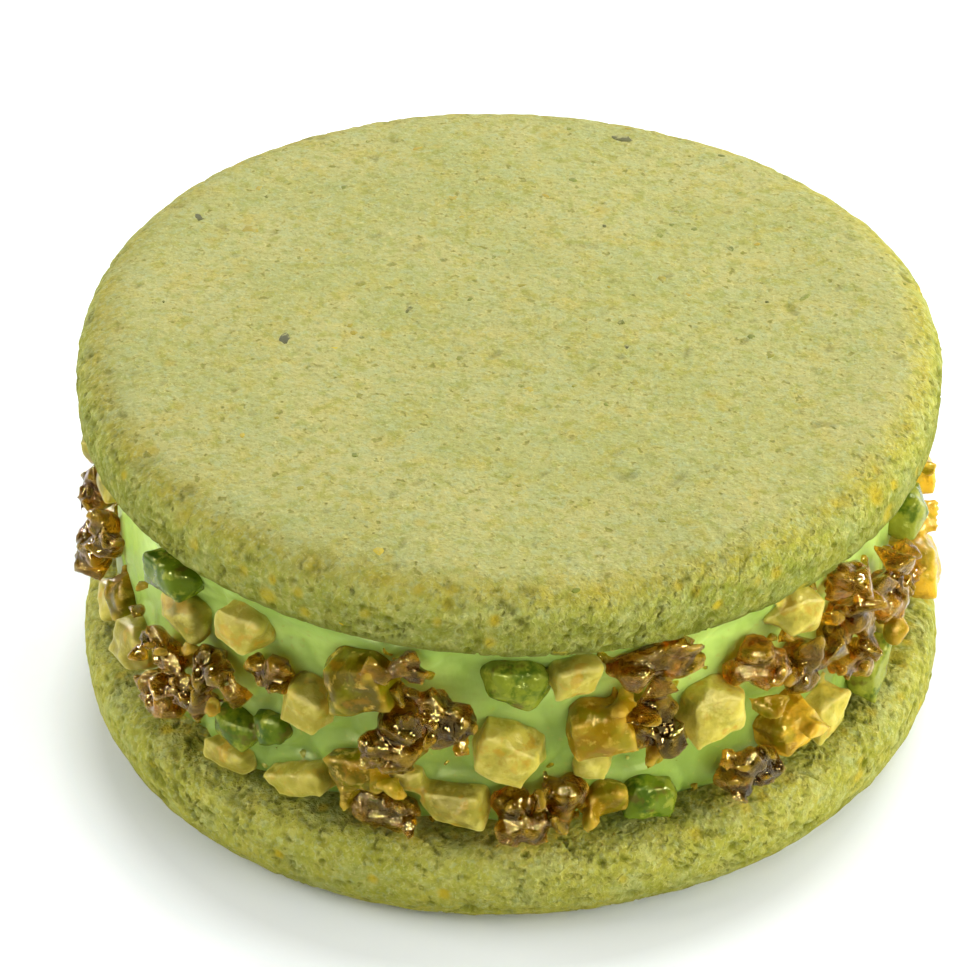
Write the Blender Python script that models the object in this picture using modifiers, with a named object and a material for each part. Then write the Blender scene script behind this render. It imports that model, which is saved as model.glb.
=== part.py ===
"""A filled sandwich biscuit: two pistachio biscuits round a thick layer of green cream, its side rolled in
chopped nuts and caramel brittle.

Metres, +Z up. The origin is on the surface that the biscuit lies on, under the middle of the whole.
Angles round the biscuit (azimuth) are in degrees: 0 faces -Y, the shown side, and 90 faces +X.
"""

import math
import random

import bmesh
import bpy
from mathutils import Matrix, Vector, noise

MM = 0.001

# ---- driving dimensions ----
TOP_RADIUS = 35.0 * MM
BASE_RADIUS = 35.6 * MM
TOP_THICKNESS = 6.4 * MM
BASE_THICKNESS = 7.5 * MM
CREAM_HEIGHT = 19.7 * MM  # gap between the two biscuits at the axis
CREAM_RADIUS = 31.3 * MM
TOP_TILT = math.radians(1.7)  # the lid leans down towards +X
TOP_SLIP = 0.4 * MM  # and sits this far off centre, towards +X
CLEARANCE = 0.3 * MM  # between the filling and each biscuit

# ---- how fine the faceted solids are ----
BISCUIT_STEPS = 60
CREAM_STEPS = 54

# Uneven outlines: (number of lobes, their height, direction of one lobe in degrees from +X).
TOP_LOBES = ((2, 0.07 * MM, 72), (3, 0.23 * MM, 22), (4, 0.16 * MM, 30), (6, 0.08 * MM, 33))
BASE_LOBES = ((2, 0.30 * MM, -40), (3, 0.27 * MM, -10))
TOP_WAVES = 0.35 * MM  # low waves in the lid's face
WAVE_LENGTH = 14 * MM

# The bits that the shown side carries: kind, azimuth, height above the floor, length round the side and
# height of the bit, the last three in mm. They were placed by eye. A nib is a piece of chopped pale nut,
# brittle is a glossy lump of caramel, honey a sugar-glazed piece of nut, pistachio a piece of green kernel.
SHOWN_BITS = (
    ("brittle", -91, 24.0, 4.6, 4.4), ("nib", -78, 23.5, 4.2, 3.6), ("brittle", -88, 19.0, 5.4, 5.0),
    ("brittle", -77, 18.6, 4.6, 4.6), ("brittle", -84, 14.0, 5.2, 5.2), ("nib", -81, 10.2, 5.0, 3.6),
    ("honey", -72, 14.6, 4.4, 3.6), ("nib", -63, 13.5, 5.4, 4.6), ("nib", -69, 10.2, 3.8, 2.8),
    ("pistachio", -51, 25.0, 6.5, 4.0), ("nib", -51, 21.0, 6.0, 3.8), ("brittle", -54, 16.6, 5.6, 4.6),
    ("brittle", -56, 11.4, 6.4, 5.0), ("brittle", -48, 14.2, 5.0, 4.6), ("brittle", -43, 18.2, 5.8, 4.6),
    ("pistachio", -40, 13.4, 5.2, 3.4), ("nib", -42, 9.8, 5.8, 2.8), ("nib", -38, 23.8, 4.8, 4.8),
    ("brittle", -34, 20.4, 5.4, 4.2), ("pistachio", -34, 14.6, 3.6, 3.0), ("nib", -28, 18.4, 5.2, 4.6),
    ("nib", -30, 10.2, 6.4, 3.4), ("honey", -20, 22.4, 7.2, 5.8), ("honey", -21, 13.2, 6.0, 3.6),
    ("brittle", -13, 25.0, 3.6, 3.2), ("brittle", -15, 18.0, 6.2, 6.2), ("nib", -14, 13.0, 3.2, 2.6),
    ("brittle", -17, 9.8, 7.2, 3.8), ("brittle", -8, 20.6, 5.6, 5.8), ("nib", -7, 11.2, 6.0, 3.8),
    ("pistachio", 1, 23.2, 6.2, 4.6), ("nib", 0, 16.6, 6.4, 5.0), ("brittle", 1, 10.8, 5.8, 5.0),
    ("nib", 9, 23.8, 4.8, 4.0), ("brittle", 7, 12.2, 4.6, 4.4), ("nib", 11, 14.8, 3.4, 2.8),
    ("honey", 12, 18.6, 6.0, 4.8), ("honey", 13, 11.0, 4.4, 3.2), ("pistachio", 19, 10.4, 5.4, 3.8),
    ("brittle", 20, 18.0, 5.4, 6.4), ("brittle", 20, 24.2, 8.6, 4.4), ("nib", 28, 17.6, 6.2, 4.8),
    ("brittle", 33, 11.4, 7.4, 5.6), ("brittle", 34, 20.4, 5.4, 5.0), ("nib", 42, 23.4, 5.2, 4.6),
    ("honey", 41, 12.4, 5.6, 4.8), ("brittle", 42, 17.8, 6.0, 4.8), ("nib", 49, 10.8, 5.6, 4.6),
    ("brittle", 51, 23.8, 5.8, 4.4), ("brittle", 53, 18.6, 6.0, 5.2), ("brittle", 54, 14.4, 5.6, 4.4),
    ("pistachio", 62, 10.4, 6.0, 4.4), ("brittle", 64, 17.0, 5.6, 4.6), ("nib", 69, 12.8, 4.8, 3.4),
    ("pistachio", 79, 19.0, 5.0, 5.0), ("brittle", 74, 15.0, 5.2, 4.2), ("honey", 80, 13.0, 6.2, 6.4),
    ("brittle", 90, 22.8, 5.2, 4.8), ("nib", 85, 9.7, 5.0, 2.8), ("honey", 92, 17.8, 5.2, 5.2),
)

# The side that isn't shown is covered by rule: courses of bits at these heights in mm, from and to azimuth.
HIDDEN_COURSES = (10.5, 14.8, 19.0, 23.4)
HIDDEN_FROM, HIDDEN_TO = 97, 264
HIDDEN_SPACING = 14.0  # degrees
HIDDEN_SEED = 11
KIND_SHARES = (("nib", 0.32), ("brittle", 0.42), ("honey", 0.13), ("pistachio", 0.13))

# How each kind sits: its depth, as a share of its smaller side, and the share of that sunk in the cream.
BIT_DEPTH = {"nib": 1.05, "brittle": 1.15, "honey": 1.1, "pistachio": 1.0}
BIT_SUNK = {"nib": 0.26, "brittle": 0.16, "honey": 0.26, "pistachio": 0.26}
BRITTLE_KNOBS = 3


def lobed(radius, lobes, angle):
    """Radius of an uneven outline at an angle from +X."""
    return radius + sum(height * math.cos(n * (angle - math.radians(at))) for n, height, at in lobes)


def arc(centre, radii, start, end, steps):
    """Points of an elliptical arc in the (radius, height) plane, between two angles in degrees."""
    found = []
    for i in range(steps + 1):
        angle = math.radians(start + (end - start) * i / steps)
        found.append((centre[0] + radii[0] * math.cos(angle), centre[1] + radii[1] * math.sin(angle)))
    return found


def turned(name, profile, steps):
    """A mesh turned from a profile of (radius, height) points, from the top of the axis round to its foot."""
    guide = bpy.data.meshes.new(name + "_profile")
    edges = [(i, i + 1) for i in range(len(profile) - 1)]
    guide.from_pydata([(r, 0.0, z) for r, z in profile], edges, [])
    holder = bpy.data.objects.new(name + "_profile", guide)
    bpy.context.scene.collection.objects.link(holder)
    screw = holder.modifiers.new("turn", "SCREW")
    screw.axis = "Z"
    screw.steps = screw.render_steps = steps
    screw.use_merge_vertices = True
    screw.merge_threshold = 0.005 * MM
    mesh = bpy.data.meshes.new_from_object(holder.evaluated_get(bpy.context.evaluated_depsgraph_get()))
    bpy.data.objects.remove(holder)
    bpy.data.meshes.remove(guide)
    mesh.name = name
    return mesh


def biscuit_profile(radius, thickness, shoulder, heel, dome):
    """A baked biscuit, flat side at height 0: a domed face, a wide soft shoulder and a tighter heel."""
    brow = thickness - dome  # height where the shoulder begins
    face = [(share * radius, thickness - dome * share**2 * 1.2) for share in (0.0, 0.3, 0.55, 0.75)]
    side = arc((radius - shoulder[0], brow - shoulder[1]), shoulder, 90, 0, 4)
    foot = arc((radius - heel, heel), (heel, heel), 0, -90, 3)
    return face + side + foot + [(0.5 * radius, 0.0), (0.0, 0.0)]


def biscuit(name, radius, thickness, shoulder, heel, dome, lobes, relief, facing):
    """A biscuit with an uneven outline and low waves in its domed face, which faces up (1) or down (-1).

    Its flat side is at height 0, and turned the other way.
    """
    mesh = turned(name, biscuit_profile(radius, thickness, shoulder, heel, dome), BISCUIT_STEPS)
    mesh.transform(Matrix.Rotation(0 if facing > 0 else math.pi, 4, "X"))
    for vertex in mesh.vertices:
        x, y, z = vertex.co
        stretch = lobed(radius, lobes, math.atan2(y, x)) / radius
        wave = noise.noise(Vector((x, y, 0)) / WAVE_LENGTH) * relief * abs(z) / thickness
        vertex.co = (x * stretch, y * stretch, z + wave)
    mesh.shade_smooth()
    return bpy.data.objects.new(name, mesh)


def underside(x):
    """Height of the lid's flat face over a point at x."""
    return BASE_THICKNESS + CREAM_HEIGHT - math.tan(TOP_TILT) * (x - TOP_SLIP)


def cream_radius(azimuth, share):
    """Radius of the cream's side at an azimuth, share of the way up from the base biscuit to the lid."""
    tuck = 1.3 * MM * max(0.0, 1 - share / 0.12) ** 2  # it curls in where it meets the base
    lip = 0.7 * MM * math.exp(-(((share - 0.93) / 0.07) ** 2))  # and squeezes out under the lid
    belly = 0.4 * MM * math.sin(math.pi * share * 1.4 + 0.4)
    side = Vector((math.sin(azimuth) * 3.4, -math.cos(azimuth) * 3.4, share * 2.2))
    return CREAM_RADIUS + belly + lip - tuck + 0.75 * MM * noise.noise(side)


def cream_core():
    """The cream without its bits. It runs a little past the faces of both biscuits, to be trimmed later."""
    shares = (1.07, 0.96, 0.88, 0.76, 0.6, 0.44, 0.28, 0.14, 0.06, -0.07)
    profile = [(0.0, shares[0])] + [(CREAM_RADIUS, share) for share in shares] + [(0.0, shares[-1])]
    mesh = turned("cream", profile, CREAM_STEPS)
    for vertex in mesh.vertices:
        x, y, share = vertex.co
        if math.hypot(x, y) > MM:
            azimuth = math.atan2(x, -y)
            radius = cream_radius(azimuth, max(0.0, min(1.0, share)))
            x, y = radius * math.sin(azimuth), -radius * math.cos(azimuth)
        vertex.co = (x, y, BASE_THICKNESS + share * (underside(x) - BASE_THICKNESS))
    return mesh


def hidden_bits():
    """Bits for the side that isn't shown, in staggered courses of uneven kinds and sizes."""
    draw = random.Random(HIDDEN_SEED)
    kinds, shares = zip(*KIND_SHARES)
    found = []
    for course, height in enumerate(HIDDEN_COURSES):
        azimuth = HIDDEN_FROM + HIDDEN_SPACING / 2 * (course % 2)
        while azimuth < HIDDEN_TO:
            kind = draw.choices(kinds, shares)[0]
            place = azimuth + draw.uniform(-3, 3), height + draw.uniform(-0.8, 0.8)
            size = draw.uniform(4.4, 7.2), draw.uniform(3.8, 5.8)
            found.append((kind, *place, *size))
            azimuth += HIDDEN_SPACING * draw.uniform(0.8, 1.2)
    return found


def chunk(draw, half):
    """A chopped piece, half its size each way: the hull of a box with worn corners and bulging sides."""
    shape = bmesh.new()
    for sx in (-1, 1):
        for sy in (-1, 1):
            for sz in (-1, 1):
                reach = [draw.uniform(0.5, 0.85) for _ in range(3)]
                shape.verts.new((sx * half[0] * reach[0], sy * half[1] * reach[1], sz * half[2] * reach[2]))
    for axis in range(3):
        for sign in (-1, 1):
            point = Vector((draw.uniform(-0.25, 0.25) * size for size in half))
            point[axis] = sign * half[axis] * draw.uniform(0.88, 1.0)
            shape.verts.new(point)
    hull = bmesh.ops.convex_hull(shape, input=shape.verts)
    inside = {v for v in hull["geom_interior"] + hull["geom_unused"] if isinstance(v, bmesh.types.BMVert)}
    bmesh.ops.delete(shape, geom=list(inside), context="VERTS")
    return [shape]


def knot(draw, half):
    """A piece of brittle, half its size each way: rough, roundish knobs stuck together in a ring."""
    found = []
    first = draw.uniform(0, math.tau)
    for i in range(BRITTLE_KNOBS):
        turn = first + math.tau * i / BRITTLE_KNOBS + draw.uniform(-0.3, 0.3)
        out = draw.uniform(0.38, 0.5)
        centre = Vector((out * math.cos(turn), out * math.sin(turn), draw.uniform(-0.25, 0.25)))
        reach = draw.uniform(0.55, 0.7)
        knob = bmesh.new()
        bmesh.ops.create_icosphere(knob, subdivisions=1, radius=reach)
        for vertex in knob.verts:
            rough = vertex.co * draw.uniform(0.86, 1.1)
            vertex.co = [size * (c + r) for size, c, r in zip(half, centre, rough)]
        found.append(knob)
    return found


def bit_frame(azimuth, height, depth, kind, lean):
    """Places a bit on the cream: X runs round the side, Y up it and Z out of it."""
    angle = math.radians(azimuth)
    along = Vector((math.cos(angle), math.sin(angle), 0))
    out = Vector((math.sin(angle), -math.cos(angle), 0))
    share = (height - BASE_THICKNESS) / (underside(CREAM_RADIUS * out.x) - BASE_THICKNESS)
    radius = cream_radius(angle, max(0.0, min(1.0, share))) + depth * (0.5 - BIT_SUNK[kind])
    turn = Matrix((along, Vector((0, 0, 1)), out)).transposed().to_4x4()
    return Matrix.Translation(out * radius + Vector((0, 0, height))) @ turn @ Matrix.Rotation(lean, 4, "Z")


def bit_meshes(index, bit):
    """The closed meshes of one bit: one chopped chunk, or the knobs of a piece of brittle."""
    kind, azimuth, height, length, tall = bit
    draw = random.Random(index + 1)
    half = (length / 2 * MM, tall / 2 * MM, min(length, tall) * BIT_DEPTH[kind] / 2 * MM)
    lean = math.radians(draw.uniform(-22, 22))
    place = bit_frame(azimuth, height * MM, 2 * half[2], kind, lean)
    found = []
    for shape in knot(draw, half) if kind == "brittle" else chunk(draw, half):
        shape.transform(place)
        bmesh.ops.recalc_face_normals(shape, faces=shape.faces)
        mesh = bpy.data.meshes.new(f"bit_{index}")
        shape.to_mesh(mesh)
        shape.free()
        found.append(mesh)
    return found


def trimming_slab():
    """The room between the biscuits' flat faces, less the clearance: what stands out of it is cut off."""
    bpy.ops.mesh.primitive_cube_add(size=2, location=(0, 0, 0))
    slab = bpy.context.object
    slab.name = "slab"
    reach = 1.5 * TOP_RADIUS
    for vertex in slab.data.vertices:
        x = vertex.co.x * reach
        z = underside(x) - CLEARANCE if vertex.co.z > 0 else BASE_THICKNESS + CLEARANCE
        vertex.co = (x, vertex.co.y * reach, z)
    slab.hide_render = True
    slab.display_type = "WIRE"
    return slab


def boolean(target, operation, solver, **operand):
    """Adds a Boolean modifier."""
    cut = target.modifiers.new(operation.lower(), "BOOLEAN")
    cut.operation = operation
    cut.solver = solver
    for key, value in operand.items():
        setattr(cut, key, value)
    return cut


def apply_modifiers(obj):
    """Puts the evaluated mesh in the place of the object's own."""
    old = obj.data
    obj.data = bpy.data.meshes.new_from_object(obj.evaluated_get(bpy.context.evaluated_depsgraph_get()))
    obj.modifiers.clear()
    bpy.data.meshes.remove(old)


def keep_main_body(mesh):
    """Drops whatever isn't joined to the largest body: a loose scrap, or the wall of a sealed hollow."""
    shape = bmesh.new()
    shape.from_mesh(mesh)
    unseen = set(shape.verts)
    bodies = []
    while unseen:
        reached = [unseen.pop()]
        for vertex in reached:
            near = {edge.other_vert(vertex) for edge in vertex.link_edges} & unseen
            unseen -= near
            reached.extend(near)
        bodies.append(reached)
    bodies.sort(key=len)
    bmesh.ops.delete(shape, geom=[vertex for body in bodies[:-1] for vertex in body], context="VERTS")
    shape.to_mesh(mesh)
    shape.free()


def filling(cutters):
    """The cream with every bit fused on, trimmed clear of both biscuits."""
    core = bpy.data.objects.new("filling", cream_core())
    bpy.context.scene.collection.objects.link(core)
    loose = bpy.data.collections.new("bits")
    bpy.context.scene.collection.children.link(loose)
    for index, bit in enumerate(SHOWN_BITS + tuple(hidden_bits())):
        for mesh in bit_meshes(index, bit):
            loose.objects.link(bpy.data.objects.new(mesh.name, mesh))
    boolean(core, "UNION", "EXACT", operand_type="COLLECTION", collection=loose)
    apply_modifiers(core)
    for obj in list(loose.objects):
        bpy.data.objects.remove(obj)
    bpy.data.collections.remove(loose)
    slab = trimming_slab()
    move_to(slab, cutters)
    boolean(core, "INTERSECT", "EXACT", object=slab)
    apply_modifiers(core)
    keep_main_body(core.data)
    return core


def material(name, colour, roughness):
    """A plain food finish."""
    made = bpy.data.materials.new(name)
    made.use_nodes = True
    shader = made.node_tree.nodes["Principled BSDF"]
    shader.inputs["Base Color"].default_value = (*colour, 1)
    shader.inputs["Roughness"].default_value = roughness
    shader.inputs["Metallic"].default_value = 0.0
    return made


def move_to(obj, collection):
    """Puts an object in one collection only."""
    for holder in obj.users_collection:
        holder.objects.unlink(obj)
    collection.objects.link(obj)


def centre_over_origin(pieces):
    """Slides every piece by the same amount, so that the whole lies centred over the origin."""
    bpy.context.view_layer.update()
    corners = [obj.matrix_world @ vertex.co for obj in pieces for vertex in obj.data.vertices]
    middle = [(min(c[i] for c in corners) + max(c[i] for c in corners)) / 2 for i in (0, 1)]
    for obj in pieces:
        obj.location.x -= middle[0]
        obj.location.y -= middle[1]


def build():
    """Makes the biscuit's three pieces and puts them in place."""
    for obj in list(bpy.data.objects):
        bpy.data.objects.remove(obj)
    whole = bpy.data.collections.new("sandwich_biscuit")
    cutters = bpy.data.collections.new("cutters")
    bpy.context.scene.collection.children.link(whole)
    bpy.context.scene.collection.children.link(cutters)

    crumb = material("pistachio_biscuit", (0.50, 0.47, 0.14), 0.8)
    cream = material("pistachio_cream", (0.42, 0.50, 0.12), 0.45)

    lid = biscuit("top_biscuit", TOP_RADIUS, TOP_THICKNESS, (4.0 * MM, 3.0 * MM), 1.4 * MM, 0.4 * MM,
                  TOP_LOBES, TOP_WAVES, 1)
    lid.location = (TOP_SLIP, 0, BASE_THICKNESS + CREAM_HEIGHT)
    lid.rotation_euler.y = TOP_TILT

    base = biscuit("bottom_biscuit", BASE_RADIUS, BASE_THICKNESS, (3.8 * MM, 3.8 * MM), 2.4 * MM, 0.0,
                   BASE_LOBES, 0.0, -1)
    base.location.z = BASE_THICKNESS

    layer = filling(cutters)
    for obj, finish in ((lid, crumb), (base, crumb), (layer, cream)):
        move_to(obj, whole)
        obj.data.materials.clear()
        obj.data.materials.append(finish)
    centre_over_origin([lid, base, layer])


build()
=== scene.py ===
import math
import random

import bmesh
import bpy
import numpy as np
from mathutils import Matrix, Vector, kdtree, noise


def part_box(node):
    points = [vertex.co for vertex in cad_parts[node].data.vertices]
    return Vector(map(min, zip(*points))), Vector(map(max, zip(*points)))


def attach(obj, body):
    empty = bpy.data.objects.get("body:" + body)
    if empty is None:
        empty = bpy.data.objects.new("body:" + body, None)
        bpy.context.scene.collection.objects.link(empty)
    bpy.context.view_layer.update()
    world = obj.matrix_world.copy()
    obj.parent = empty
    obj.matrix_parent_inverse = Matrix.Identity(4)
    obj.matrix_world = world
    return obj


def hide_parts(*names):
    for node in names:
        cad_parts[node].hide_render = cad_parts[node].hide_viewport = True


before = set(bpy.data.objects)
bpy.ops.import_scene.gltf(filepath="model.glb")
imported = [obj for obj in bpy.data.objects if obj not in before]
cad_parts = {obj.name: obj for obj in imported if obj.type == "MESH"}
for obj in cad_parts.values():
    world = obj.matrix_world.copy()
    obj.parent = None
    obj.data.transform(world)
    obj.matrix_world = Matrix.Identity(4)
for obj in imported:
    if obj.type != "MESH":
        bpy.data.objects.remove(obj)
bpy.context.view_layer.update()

# Sizes are in millimetres and colours are sRGB hex. An azimuth is in degrees: 0 faces the camera, and 90 is
# to the right of it.
mm = 0.001


def colour(code):
    # an sRGB hex code as linear red, green, blue and alpha
    parts = [int(code[i:i + 2], 16) / 255 for i in (1, 3, 5)]
    return [*(c / 12.92 if c <= 0.04045 else ((c + 0.055) / 1.055) ** 2.4 for c in parts), 1.0]


def smooth(low, high, value):
    # 0 below low, 1 above high, and an even S between them
    t = np.clip((value - low) / (high - low), 0.0, 1.0)
    return t * t * (3 - 2 * t)


def ripple(points, size, shift=0.0):
    # soft noise from -1 to 1, with its bumps about this many mm across
    return np.array([noise.noise(Vector(p)) for p in points / size + shift])


def readVectors(source, key):
    found = np.empty(len(source) * 3)
    source.foreach_get(key, found)
    return found.reshape(-1, 3)


def readPoints(mesh):
    return readVectors(mesh.vertices, "co")


def readNormals(mesh):
    return readVectors(mesh.vertex_normals, "vector")


def writePoints(mesh, points):
    mesh.vertices.foreach_set("co", np.ascontiguousarray(points, dtype=np.float32).ravel())
    mesh.update()


def toMesh(shape, name):
    mesh = bpy.data.meshes.new(name)
    shape.to_mesh(mesh)
    shape.free()
    return mesh


def addObject(name, data):
    made = bpy.data.objects.new(name, data)
    bpy.context.scene.collection.objects.link(made)
    return made


def nearTree(points):
    # finds the nearest of these points
    tree = kdtree.KDTree(len(points))
    for i, point in enumerate(points):
        tree.insert(point, i)
    tree.balance()
    return tree


def paint(mesh, name, values):
    # one number per vertex, which a material reads by this name
    layer = mesh.attributes.new(name, "FLOAT", "POINT")
    layer.data.foreach_set("value", np.ascontiguousarray(values, dtype=np.float32))


def finishPiece(mesh, name, material, node):
    # from mm to metres, then into the scene, riding on the CAD body and standing for its node
    writePoints(mesh, (readPoints(mesh) + [*middle, 0.0]) * mm)
    mesh.shade_smooth()
    mesh.materials.clear()
    mesh.materials.append(material)
    piece = addObject(name, mesh)
    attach(piece, "root")
    if node:
        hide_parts(node)
    print(f"{name}: {len(mesh.vertices)} points, {len(mesh.polygons)} faces")
    return piece


stack = {
    "baseThickness": 7.5,
    "creamHeight": 19.7,
    "lidTilt": 1.7,  # degrees, down towards +X
    "lidSlip": 0.4,
    "overlap": 0.12,  # how far the cream runs into each biscuit, so that no gap shows
}
lidCut = {
    "radius": 35.0, "thickness": 6.4, "shoulder": (4.0, 3.0), "heel": 1.4, "dome": 0.4, "facing": 1,
    "lobes": ((2, 0.07, 72), (3, 0.23, 22), (4, 0.16, 30), (6, 0.08, 33)),
    "waves": 0.35,
    "browningAndShade": 1.0, "shaded": 0.78,  # how far down the side the oven's colour and the painted shade of the side go, and how dark the painted shade below is
    "pits": 950, "stains": 260, "seed": 3,
}
baseCut = {
    "radius": 35.6, "thickness": 7.5, "shoulder": (3.8, 3.8), "heel": 2.4, "dome": 0.0, "facing": -1,
    "lobes": ((2, 0.30, -40), (3, 0.27, -10)),
    "waves": 0.0, "browningAndShade": 0.72, "shaded": 0.4,
    "pits": 1200, "stains": 200, "seed": 5,
}


def lobed(cut, angle):
    # how far the outline is stretched at an angle from +X, in radians
    swell = sum(height * np.cos(n * (angle - math.radians(at))) for n, height, at in cut["lobes"])
    return 1 + swell / cut["radius"]


def findMiddle():
    # the solids were slid so that the whole is centred, and the base biscuit's box says how far
    low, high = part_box("bottom_biscuit")
    angle = np.linspace(0, math.tau, 61)
    reach = baseCut["radius"] * lobed(baseCut, angle)
    own = np.stack([reach * np.cos(angle), reach * np.sin(angle)])
    boxMiddle = np.array([(low[i] + high[i]) / 2 / mm for i in (0, 1)])
    return boxMiddle - (own.max(1) + own.min(1)) / 2


middle = findMiddle()


def underside(x):
    # height of the lid's flat face over x
    rise = math.tan(math.radians(stack["lidTilt"]))
    return stack["baseThickness"] + stack["creamHeight"] - rise * (x - stack["lidSlip"])


def join(tree, source, node, key):
    # a source is an output, or a node, which gives its first output in use
    if isinstance(source, bpy.types.Node):
        source = next(output for output in source.outputs if output.enabled)
    tree.links.new(source, node.inputs[key])


def addNode(tree, kind, settings=None, links=None):
    # settings fill the node's own values, its sockets, or the stops of a colour ramp
    node = tree.nodes.new("ShaderNode" + kind)
    for key, value in (settings or {}).items():
        if key == "stops":
            while len(node.color_ramp.elements) < len(value):
                node.color_ramp.elements.new(0.5)
            for element, (place, tone) in zip(node.color_ramp.elements, value):
                element.position = place
                element.color = colour(tone)
        elif isinstance(key, str) and hasattr(node, key):
            setattr(node, key, value)
        else:
            node.inputs[key].default_value = value
    for key, source in (links or {}).items():
        join(tree, source, node, key)
    return node


def newMaterial(name, settings):
    # gives its nodes, its shader, and coordinates in metres
    material = bpy.data.materials.new(name)
    material.use_nodes = True
    tree = material.node_tree
    shader = tree.nodes["Principled BSDF"]
    for key, value in settings.items():
        shader.inputs[key].default_value = value
    coords = addNode(tree, "TexCoord").outputs["Object"]
    return material, tree, shader, coords


def layOver(tree, tone, source, low, high, amount, shade, within=None):
    # lays a colour on: it shows from one value of the source up to another, where it is full
    mask = addNode(tree, "MapRange", {"From Min": low, "From Max": high, "To Max": amount}, {"Value": source})
    if within:
        mask = addNode(tree, "Math", {"operation": "MULTIPLY"}, {0: within, 1: mask})
    return addNode(tree, "Mix", {"data_type": "RGBA", 7: colour(shade)}, {0: mask, 6: tone}), mask


def layGrains(tree, coords, tone, grains):
    # patches of colour, by noise of a size in mm
    for size, *grain in grains:
        spread = addNode(tree, "TexNoise", {"Scale": 1 / (size * mm), "Detail": 3.0, "Roughness": 0.6},
                         {"Vector": coords})
        tone, _ = layOver(tree, tone, spread, *grain)
    return tone


def layWashes(tree, tone, washes):
    # colours by what is painted on the mesh
    for name, *wash in washes:
        tone, _ = layOver(tree, tone, addNode(tree, "Attribute", {"attribute_name": name}), *wash)
    return tone


def foodMaterial(name, painted, look, settings):
    # a ramp over what is painted under this name, with grains, washes and a bump of two sizes
    material, tree, shader, coords = newMaterial(name, settings)
    tone = addNode(tree, "Attribute", {"attribute_name": painted})
    tone = addNode(tree, "ValToRGB", {"stops": look["stops"]}, {"Fac": tone})
    tone = layGrains(tree, coords, tone, look["grains"])
    join(tree, layWashes(tree, tone, look.get("washes", ())), shader, "Base Color")
    addRelief(tree, shader, coords, *look["relief"])
    return material


def addRelief(tree, shader, coords, coarse, fine, height):
    # a bump from grains of two sizes
    first = addNode(tree, "TexNoise", {"Scale": 1 / (coarse * mm), "Detail": 3.0}, {"Vector": coords})
    second = addNode(tree, "TexNoise", {"Scale": 1 / (fine * mm), "Detail": 2.0}, {"Vector": coords})
    both = addNode(tree, "Mix", {"Factor": fine / (coarse + fine)}, {"A": first, "B": second})
    bump = addNode(tree, "Bump", {"Strength": 1.0, "Distance": height * mm}, {"Height": both})
    join(tree, bump, shader, "Normal")
    return bump


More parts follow.
